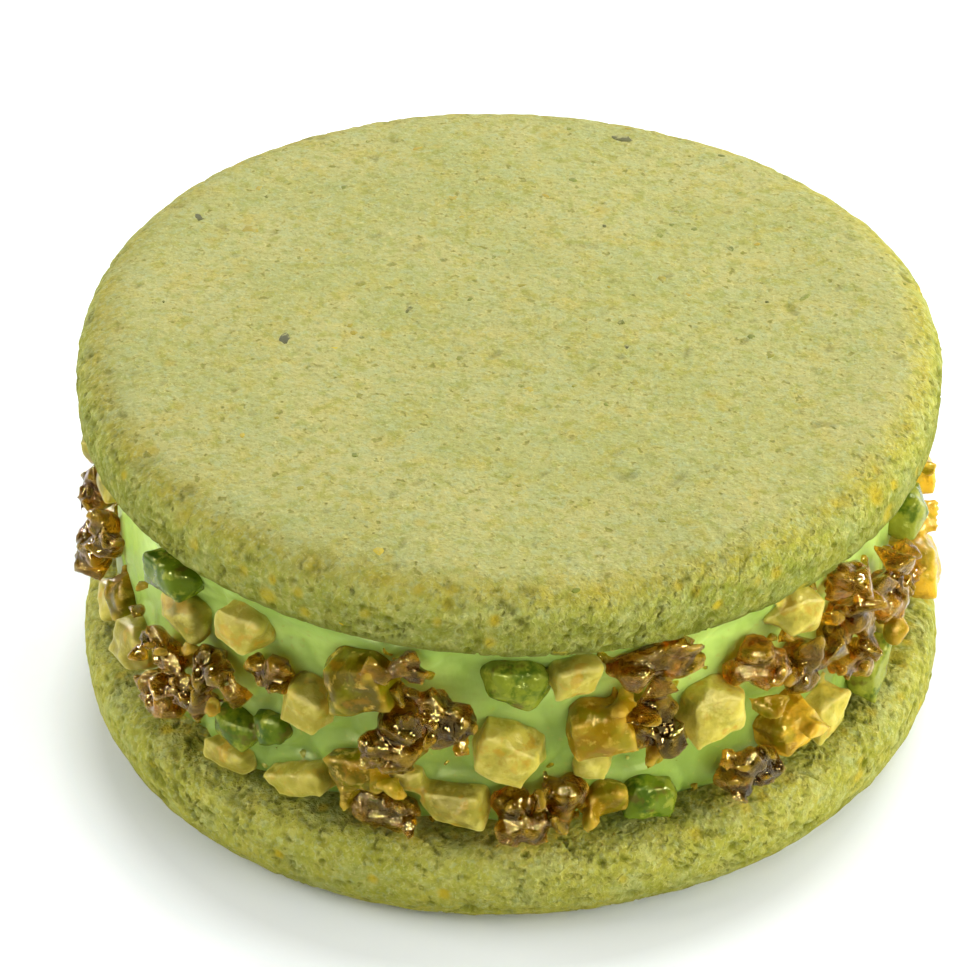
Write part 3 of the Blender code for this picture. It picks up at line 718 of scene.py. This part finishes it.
bitKinds = {
    "nib": {
        "piece": "nutPieces", "material": choppedNut, "slot": "nut",
        "depth": 1.05, "sunk": 0.26,  # in shares of its smaller size
        "voxel": 0.22, "worn": 1, "relief": ((1.9, 0.28), (0.8, 0.08)), "seed": 21,
        "strays": 1, "crumbs": 110,  # small pieces beside each, and crumbs all round
        "tones": {0: 0.4, -7: -0.3, 28: 0.3, -51: -0.5, -38: 0.1, -42: 0.2},
        "loose": ((-68.3, 10.8, 1.1, 1.6), (44.6, 12.2, 1.2, 1.4)),
    },
    "brittle": {
        "piece": "brittlePieces", "material": caramelBrittle, "slot": "brittle",
        "depth": 1.15, "sunk": 0.16,
        "voxel": 0.24, "worn": 1, "relief": ((1.5, 0.14), (0.7, 0.05)), "seed": 31,
        "strays": 3, "crumbs": 90,
        "tones": {  # those at these azimuths are paler (above 0) or darker than the rest
            33: -0.9, 20: -0.45, -13: -0.3, -15: -0.2, -8: -0.35, 42: -0.15, 34: -0.15, 53: 0.2, 54: 0.3,
            64: 0.4, 74: 0.3, 90: 0.3, -56: 0.6, -54: 0.5, -48: 0.2, -84: 0.3, -77: 0.3, -91: 0.3,
        },
        "loose": (  # azimuth, height, reach, and how far its middle stands out of the cream
            (-56.1, 21.5, 0.9, 0.8), (-51.2, 14.5, 1.4, 3.2), (-44.7, 17.4, 1.3, 2.6),
            (-45.0, 15.1, 1.6, 2.4), (-57.5, 15.4, 1.3, 2.8), (-61.0, 17.4, 1.0, 1.8),
            (-38.5, 17.2, 1.3, 2.2), (-15.4, 22.2, 1.6, 2.6), (-11.1, 20.2, 1.5, 3.2),
            (-13.9, 16.0, 1.5, 3.2), (-16.3, 24.6, 1.7, 2.2), (-12.0, 22.6, 1.4, 2.4),
            (-9.4, 22.6, 1.0, 2.2), (-6.0, 18.4, 1.2, 3.0), (-13.6, 9.8, 1.3, 3.0), (-20.0, 9.6, 1.2, 2.4),
            (4.1, 12.8, 1.3, 2.4), (2.0, 9.8, 1.4, 3.4), (6.7, 10.8, 1.4, 3.0), (15.8, 16.6, 1.3, 2.2),
            (16.4, 24.4, 1.6, 2.4), (19.8, 21.8, 1.6, 2.4), (22.8, 23.2, 1.4, 2.2), (17.0, 19.8, 1.5, 3.2),
            (29.4, 13.0, 1.2, 2.6), (36.6, 20.6, 1.6, 3.2), (43.5, 19.7, 1.6, 2.8), (39.6, 21.6, 1.3, 2.6),
            (47.4, 17.8, 1.6, 3.0), (50.5, 23.9, 1.8, 3.0), (53.7, 21.2, 1.7, 3.6), (48.4, 21.0, 1.3, 2.2),
            (54.6, 16.0, 1.5, 3.2), (60.5, 19.4, 1.6, 2.8), (66.0, 20.4, 1.7, 2.6), (72.0, 18.4, 1.5, 2.6),
            (69.0, 15.4, 1.4, 2.6),
        ),
    },
    "honey": {
        "piece": "glazedPieces", "material": glazedNut, "slot": "honeyed_nut",
        "depth": 1.1, "sunk": 0.26,
        "voxel": 0.23, "worn": 2, "relief": ((1.9, 0.3), (0.8, 0.1)), "seed": 41,
        "strays": 1, "crumbs": 40,
        "tones": {-21: -0.5, 12: 0.05, 80: 0.4, 92: 0.7},
        "loose": (
            (-51.6, 17.6, 0.9, 3.0), (-47.1, 19.0, 0.8, 2.2), (-60.0, 20.4, 0.9, 1.6),
            (-41.5, 15.8, 1.1, 3.0), (-22.0, 11.1, 1.3, 2.2), (-15.5, 13.1, 1.3, 2.6),
            (10.6, 10.6, 1.3, 2.4), (14.9, 21.0, 1.5, 2.2), (18.6, 15.4, 1.1, 2.6), (36.7, 16.8, 1.6, 2.4),
            (64.0, 14.2, 1.5, 3.0), (84.0, 16.2, 1.7, 3.0), (86.0, 20.4, 1.5, 2.4), (42.4, 12.6, 1.8, 3.6),
        ),
    },
    "pistachio": {
        "piece": "pistachioPieces", "material": choppedPistachio, "slot": "pistachio",
        "depth": 1.0, "sunk": 0.26,
        "voxel": 0.23, "worn": 2, "relief": ((1.7, 0.2), (0.8, 0.1)), "seed": 51,
        "strays": 0, "crumbs": 50,
        "tones": {62: 0.3, -51: 0.3, 79: 0.8},
        "loose": (),
    },
}
chunkShape = {"corner": (0.5, 0.85), "bulge": (0.88, 1.0), "aside": 0.25}  # in shares of half its size
knotShape = {
    "lumps": 3, "corners": 16, "turned": 0.3,  # radians
    "out": (0.34, 0.46), "up": 0.25, "reach": (0.5, 0.66),  # in shares of half its size
    "splinters": 4, "splinterOut": 0.8, "splinterSize": (0.28, 0.5), "uneven": (0.8, 1.2),  # of their lump
}
mostLean = 22  # degrees
scatter = {
    "stray": (0.4, 0.9), "strayLift": 0.3, "strayAway": (0.45, 0.62),  # reach, lift, and how far off its bit
    "crumb": (0.18, 0.42), "crumbLift": 0.08, "heights": (9.0, 25.5), "uneven": (0.7, 1.3),
}
bitPaint = {
    "spread": 0.5,  # how much the tones of one kind differ
    "right": (-0.9, 0.9, 0.5),  # painted light: paler round to the right, the side the light comes from
    "smear": 1.3,  # how far out the cream's colour reaches
    "rounds": 12, "margin": 0.08,  # smoothings to find the ridges, and room left at the lid and the base
}


def creamRadius(azimuth, share):
    # share is how far up the layer, 0 at the base biscuit and 1 at the lid
    deep, upTo = cream["tuck"]
    tuck = deep * max(0.0, 1 - share / upTo) ** 2
    swell, place, width = cream["lip"]
    lip = swell * math.exp(-(((share - place) / width) ** 2))
    bulge, waves, start = cream["belly"]
    belly = bulge * math.sin(math.pi * share * waves + start)
    wobble, around, upward = cream["wobble"]
    side = Vector((math.sin(azimuth) * around, -math.cos(azimuth) * around, share * upward))
    return cream["radius"] + belly + lip - tuck + wobble * noise.noise(side)


def creamAt(azimuth, height):
    # the radius at a height in mm
    base = stack["baseThickness"]
    share = (height - base) / (underside(cream["radius"] * math.sin(azimuth)) - base)
    return creamRadius(azimuth, max(0.0, min(1.0, share)))


def hiddenBits():
    # the side that the photo doesn't show: staggered courses of uneven kinds and sizes
    look = hiddenSide
    draw = random.Random(look["seed"])
    around, upward = look["shift"]
    found = []
    for course, height in enumerate(look["courses"]):
        azimuth = look["start"] + look["spacing"] / 2 * (course % 2)
        while azimuth < look["end"]:
            kind = draw.choices(look["kinds"], look["shares"])[0]
            place = azimuth + draw.uniform(-around, around), height + draw.uniform(-upward, upward)
            size = draw.uniform(*look["length"]), draw.uniform(*look["tall"])
            found.append((kind, *place, *size))
            azimuth += look["spacing"] * draw.uniform(*look["uneven"])
    return found


allBits = shownBits + tuple(hiddenBits())


def gapBits():
    # smaller pieces in the gaps of the hidden side, where they touch no other piece
    look = hiddenSide
    draw = random.Random(look["seed"] + 1)
    taken = [(at, up, (length + tall) / 4) for _, at, up, length, tall in allBits]
    found = {kind: [] for kind in bitKinds}
    for _ in range(look["tries"]):
        azimuth = draw.uniform(look["start"] - look["past"], look["end"] + look["past"])
        height = draw.uniform(*look["heights"])
        reach = draw.uniform(*look["fill"])
        for at, up, size in taken:
            across = math.radians((azimuth - at + 180) % 360 - 180) * cream["radius"]
            if math.hypot(across, height - up) < size + look["room"] * reach:
                break
        else:
            taken.append((azimuth, height, reach))
            kind = draw.choices(look["kinds"], look["shares"])[0]
            found[kind].append((azimuth, height, reach, look["lift"] * reach))
    return found


gaps = gapBits()


def hull(shape):
    # wraps the points, and drops those left inside
    made = bmesh.ops.convex_hull(shape, input=shape.verts)
    inside = {v for v in made["geom_interior"] + made["geom_unused"] if isinstance(v, bmesh.types.BMVert)}
    bmesh.ops.delete(shape, geom=list(inside), context="VERTS")
    return shape


def chunk(draw, half):
    # a chopped piece: the hull of a box with worn corners and bulging sides
    shape = bmesh.new()
    for signs in ((x, y, z) for x in (-1, 1) for y in (-1, 1) for z in (-1, 1)):
        reach = [draw.uniform(*chunkShape["corner"]) for _ in range(3)]
        shape.verts.new([sign * size * part for sign, size, part in zip(signs, half, reach)])
    aside = chunkShape["aside"]
    for axis in range(3):
        for sign in (-1, 1):
            point = Vector((draw.uniform(-aside, aside) * size for size in half))
            point[axis] = sign * half[axis] * draw.uniform(*chunkShape["bulge"])
            shape.verts.new(point)
    return [hull(shape)]


def shard(draw, centre, reach, corners=9):
    # a lump with flat sides: the hull of a few points thrown on a ball
    shape = bmesh.new()
    for _ in range(corners):
        way = Vector((draw.gauss(0, 1), draw.gauss(0, 1), draw.gauss(0, 1))).normalized()
        shape.verts.new([c + r * w for c, r, w in zip(centre, reach, way)])
    return hull(shape)


def knot(draw, half):
    # a piece of brittle: a ring of glassy lumps with flat sides, and a few splinters standing out of them
    look, found = knotShape, []
    first = draw.uniform(0, math.tau)
    for i in range(look["lumps"]):
        turn = first + math.tau * i / look["lumps"] + draw.uniform(-look["turned"], look["turned"])
        out = draw.uniform(*look["out"])
        up = draw.uniform(-look["up"], look["up"])
        centre = Vector((out * math.cos(turn), out * math.sin(turn), up))
        reach = draw.uniform(*look["reach"])
        spot = [h * c for h, c in zip(half, centre)]
        found.append(shard(draw, spot, [h * reach for h in half], look["corners"]))
        for _ in range(look["splinters"]):
            way = Vector((draw.gauss(0, 1), draw.gauss(0, 1), abs(draw.gauss(0, 1)))).normalized()
            spot = [h * (c + reach * look["splinterOut"] * w) for h, c, w in zip(half, centre, way)]
            size = reach * draw.uniform(*look["splinterSize"])
            found.append(shard(draw, spot, [h * size * draw.uniform(*look["uneven"]) for h in half]))
    return found


def bitShapes(index, bit):
    # X runs round the side, Y up it and Z out of it
    kind, azimuth, height, length, tall = bit
    draw = random.Random(index + 1)
    half = (length / 2, tall / 2, min(length, tall) * bitKinds[kind]["depth"] / 2)
    lean = Matrix.Rotation(math.radians(draw.uniform(-mostLean, mostLean)), 4, "Z")
    angle = math.radians(azimuth)
    along = Vector((math.cos(angle), math.sin(angle), 0))
    out = Vector((math.sin(angle), -math.cos(angle), 0))
    radius = creamAt(angle, height) + 2 * half[2] * (0.5 - bitKinds[kind]["sunk"])
    turn = Matrix((along, Vector((0, 0, 1)), out)).transposed().to_4x4()
    place = Matrix.Translation(out * radius + Vector((0, 0, height))) @ turn @ lean
    shapes = knot(draw, half) if kind == "brittle" else chunk(draw, half)
    for shape in shapes:
        shape.transform(place)
        bmesh.ops.recalc_face_normals(shape, faces=shape.faces)
    return shapes, place.to_translation()


def morsel(draw, angle, height, reach, lift):
    # a small splinter, its middle standing out of the cream by the lift; angle in radians
    out = creamAt(angle, height) + lift
    height = min(max(height, stack["baseThickness"] + reach), underside(out * math.sin(angle)) - reach)
    centre = (out * math.sin(angle), -out * math.cos(angle), height)
    return shard(draw, centre, [reach * draw.uniform(*scatter["uneven"]) for _ in range(3)])


def gather(joined, shapes):
    # adds the shapes to one mesh, and gives the middle of the last
    for shape in shapes:
        holder = bpy.data.meshes.new("holder")
        bmesh.ops.recalc_face_normals(shape, faces=shape.faces)
        shape.to_mesh(holder)
        joined.from_mesh(holder)
        middlePoint = sum((v.co for v in shape.verts), Vector()) / len(shape.verts)
        bpy.data.meshes.remove(holder)
        shape.free()
    return middlePoint


def standOut(mesh, points, normals, rounds):
    # how far each point stands out of its surroundings, in mm: above 0 on ridges, below 0 in hollows
    ends = np.empty(len(mesh.edges) * 2, dtype=np.int32)
    mesh.edges.foreach_get("vertices", ends)
    first, second = ends.reshape(-1, 2).T
    count = np.bincount(ends, minlength=len(points))
    even = points.copy()
    for _ in range(rounds):
        for axis in range(3):
            near = np.bincount(first, even[second, axis], len(points))
            near += np.bincount(second, even[first, axis], len(points))
            even[:, axis] = (even[:, axis] + near / count) / 2
    return ((points - even) * normals).sum(1)


def bitsPiece(kind):
    # every bit of one kind in one skin, its corners worn and its surface roughened
    look = bitKinds[kind]
    name = look["piece"]
    joined = bmesh.new()
    centres, shifts = [], {}
    draw = random.Random(look["seed"])
    for index, bit in enumerate(allBits):
        if bit[0] != kind:
            continue
        shapes, centre = bitShapes(index, bit)
        shifts[len(centres)] = look["tones"].get(bit[1], 0.0)
        centres.append(centre)
        gather(joined, shapes)
        for _ in range(look["strays"]):
            turn = draw.uniform(0, math.tau)
            away = draw.uniform(*scatter["strayAway"])
            across, up = away * bit[3] * math.cos(turn), away * bit[4] * math.sin(turn)
            spot = math.radians(bit[1]) + across / cream["radius"], bit[2] + up
            small = morsel(draw, *spot, draw.uniform(*scatter["stray"]), scatter["strayLift"])
            centres.append(gather(joined, [small]))
    for azimuth, *rest in [*look["loose"], *gaps[kind]]:
        centres.append(gather(joined, [morsel(draw, math.radians(azimuth), *rest)]))
    for _ in range(look["crumbs"]):
        spot = draw.uniform(-math.pi, math.pi), draw.uniform(*scatter["heights"])
        small = morsel(draw, *spot, draw.uniform(*scatter["crumb"]), scatter["crumbLift"])
        centres.append(gather(joined, [small]))
    holder = addObject(name + "Rough", toMesh(joined, name))
    skin = holder.modifiers.new("skin", "REMESH")
    skin.mode = "VOXEL"
    skin.voxel_size = look["voxel"]
    worn = holder.modifiers.new("worn", "SMOOTH")
    worn.iterations = look["worn"]
    bpy.context.view_layer.update()
    made = bpy.data.meshes.new_from_object(holder.evaluated_get(bpy.context.evaluated_depsgraph_get()))
    bpy.data.objects.remove(holder)

    points, normals = readPoints(made), readNormals(made)
    relief = sum(height * ripple(points, size, look["seed"]) for size, height in look["relief"])
    points = points + normals * relief[:, None]
    azimuth = np.arctan2(points[:, 0], -points[:, 1])
    out = np.hypot(points[:, 0], points[:, 1])
    skinRadius = np.array([creamAt(a, z) for a, z in zip(azimuth, points[:, 2])])
    low, high = stack["baseThickness"] + bitPaint["margin"], underside(points[:, 0]) - bitPaint["margin"]
    points[:, 2] = np.clip(points[:, 2], low, high)

    tree = nearTree(centres)
    tones = [bitPaint["spread"] * random.Random(look["seed"] + i).random() + shifts.get(i, 0.0)
             for i in range(len(centres))]
    tone = np.array([tones[tree.find(p)[1]] for p in points])
    # painted light: the bits grow paler round to the right
    low, high, paler = bitPaint["right"]
    tone += paler * smooth(low, high, points[:, 0] / out)
    writePoints(made, points)
    paint(made, "tone", tone)
    paint(made, "smear", 1 - smooth(0.0, bitPaint["smear"], out - skinRadius))
    paint(made, "ridge", standOut(made, points, readNormals(made), bitPaint["rounds"]))
    return finishPiece(made, name, look["material"](), "filling")


def creamPiece(material):
    # a sleeve of cream, a little dented by the knife and swelling up against each bit
    shape = bmesh.new()
    bmesh.ops.create_grid(shape, x_segments=cream["around"], y_segments=cream["up"], size=1)
    mesh = toMesh(shape, "creamLayer")
    spot = readPoints(mesh)
    azimuth = spot[:, 0] * math.pi
    share = spot[:, 1] * 0.5 + 0.5
    radius = np.array([creamRadius(a, s) for a, s in zip(azimuth, share)])
    low = stack["baseThickness"] - stack["overlap"]
    high = underside(radius * np.sin(azimuth)) + stack["overlap"]
    height = low + share * (high - low)
    points = np.stack([radius * np.sin(azimuth), -radius * np.cos(azimuth), height], 1)
    dents = sum(depth * ripple(points, size, seed) for size, depth, seed in cream["dents"])
    swell = np.zeros(len(points))
    for _, at, up, length, tall in allBits:
        away = (np.degrees(azimuth) - at + 180) % 360 - 180
        wide = np.radians(away) * radius / (length / 2)
        upward = (height - up) / (tall / 2)
        swell = np.maximum(swell, 1 - smooth(*cream["filletReach"], np.hypot(wide, upward)))
    radius = radius + dents + cream["fillet"] * swell
    points = np.stack([radius * np.sin(azimuth), -radius * np.cos(azimuth), height], 1)
    writePoints(mesh, points)
    # the share of the height, which the cream's ramp turns into painted shade at both seams and painted light
    # below the lid
    paint(mesh, "rise", share)
    shape = bmesh.new()
    shape.from_mesh(mesh)
    bmesh.ops.remove_doubles(shape, verts=shape.verts, dist=cream["seam"])
    shape.to_mesh(mesh)
    shape.free()
    closeHoles(mesh)
    return finishPiece(mesh, "creamLayer", material, "filling")


biscuitMaterial = bakedShortbread()
lidPlace = Matrix.Translation((stack["lidSlip"], 0, stack["baseThickness"] + stack["creamHeight"]))
lidPlace = lidPlace @ Matrix.Rotation(math.radians(stack["lidTilt"]), 4, "Y")
lid = biscuitPiece("lidBiscuit", lidCut, lidPlace, biscuitMaterial, "top_biscuit")
basePlace = Matrix.Translation((0, 0, stack["baseThickness"]))
base = biscuitPiece("baseBiscuit", baseCut, basePlace, biscuitMaterial, "bottom_biscuit")
flecksPiece((lid, base), bakedFleck())
creamPiece(butterCream())

for kind in bitKinds:
    bitsPiece(kind)
print("biscuits, cream and bits are made")

shot = {
    "elevation": 37.1, "roll": -0.88,  # degrees
    "distance": 350.0, "target": 15.75,
    "lens": 157.7, "shiftX": -0.0224, "shiftY": 0.0184,
}
sweep = {"flat": 2600.0, "curve": 300.0, "wall": 520.0, "steps": 8, "around": 96}
light = {
    "softBoxes": (  # azimuth, elevation, watts
        (90, 25, 1.0), (50, 25, 1.45), (-90, 25, 2.0), (135, 30, 1.6), (180, 45, 0.7), (70, 10, 0.7),
    ),
    "glints": (  # azimuth, elevation; small lamps seen only in reflections, for the sparkle of the glaze
        (60, 45), (-45, 45), (8, 60), (140, 45), (-135, 45), (-75, 25), (25, 25), (100, 30), (-15, 30),
        (40, 72), (-100, 50), (180, 50), (-165, 30), (80, 62), (-35, 12), (165, 25), (-150, 20), (155, 62),
    ),
    "boxSize": 300.0, "glintSize": 40.0, "glintWatts": 2.4,
    "distance": 500.0, "aim": 20.0,  # all face a spot at this height
}


def makeFloor():
    # a round sheet of card that curves up into a low wall all round
    shape = bmesh.new()
    rings = [(sweep["flat"], 0.0)]
    for step in range(1, sweep["steps"] + 1):
        turn = math.pi / 2 * step / sweep["steps"]
        rings.append((sweep["flat"] + sweep["curve"] * math.sin(turn), sweep["curve"] * (1 - math.cos(turn))))
    rings.append((rings[-1][0], sweep["wall"]))
    around = sweep["around"]
    ways = [(math.cos(math.tau * i / around), math.sin(math.tau * i / around)) for i in range(around)]
    hub = shape.verts.new((0, 0, 0))
    last = None
    for radius, height in rings:
        ring = [shape.verts.new((radius * x, radius * y, height)) for x, y in ways]
        for i in range(around):
            j = (i + 1) % around
            shape.faces.new((last[i], ring[i], ring[j], last[j]) if last else (hub, ring[i], ring[j]))
        last = ring
    mesh = toMesh(shape, "floor")
    writePoints(mesh, readPoints(mesh) * mm)
    mesh.shade_smooth()
    mesh.materials.append(whiteCard())
    addObject("floor", mesh)


def makeLamp(name, azimuth, elevation, watts, size, isGlint):
    # a square lamp turned to the biscuit; a glint lights nothing, and a soft box shows in no reflection
    lamp = bpy.data.lights.new(name, "AREA")
    lamp.energy = watts
    lamp.size = size * mm
    box = addObject(name, lamp)
    turn, rise = math.radians(azimuth), math.radians(elevation)
    out = Vector((math.sin(turn) * math.cos(rise), -math.cos(turn) * math.cos(rise), math.sin(rise)))
    box.location = (out * light["distance"] + Vector((0, 0, light["aim"]))) * mm
    box.rotation_euler = out.to_track_quat("Z", "Y").to_euler()
    box.visible_glossy = isGlint
    box.visible_diffuse = box.visible_transmission = box.visible_volume_scatter = not isGlint


def makeLights():
    world = bpy.data.worlds.new("studio")
    world.use_nodes = True
    bpy.context.scene.world = world
    world.node_tree.nodes["Background"].inputs["Strength"].default_value = 0.0  # lamps and card light it all
    for i, box in enumerate(light["softBoxes"]):
        makeLamp(f"softBox{i}", *box, light["boxSize"], False)
    for i, glint in enumerate(light["glints"]):
        makeLamp(f"glint{i}", *glint, light["glintWatts"], light["glintSize"], True)


def makeCamera():
    tilt = math.radians(shot["elevation"])
    target = Vector((*middle, shot["target"]))
    back = Vector((0, -math.cos(tilt), math.sin(tilt)))
    camera = addObject("camera", bpy.data.cameras.new("camera"))
    camera.matrix_world = (Matrix.Translation((target + back * shot["distance"]) * mm)
                           @ Matrix.Rotation(math.pi / 2 - tilt, 4, "X")
                           @ Matrix.Rotation(math.radians(shot["roll"]), 4, "Z"))
    camera.data.lens = shot["lens"]
    camera.data.shift_x = shot["shiftX"]
    camera.data.shift_y = shot["shiftY"]
    camera.data.clip_start = 10 * mm
    bpy.context.scene.camera = camera


makeFloor()
makeLights()
makeCamera()
bpy.context.scene.view_settings.view_transform = "Standard"
print("floor, lights and camera are in place")
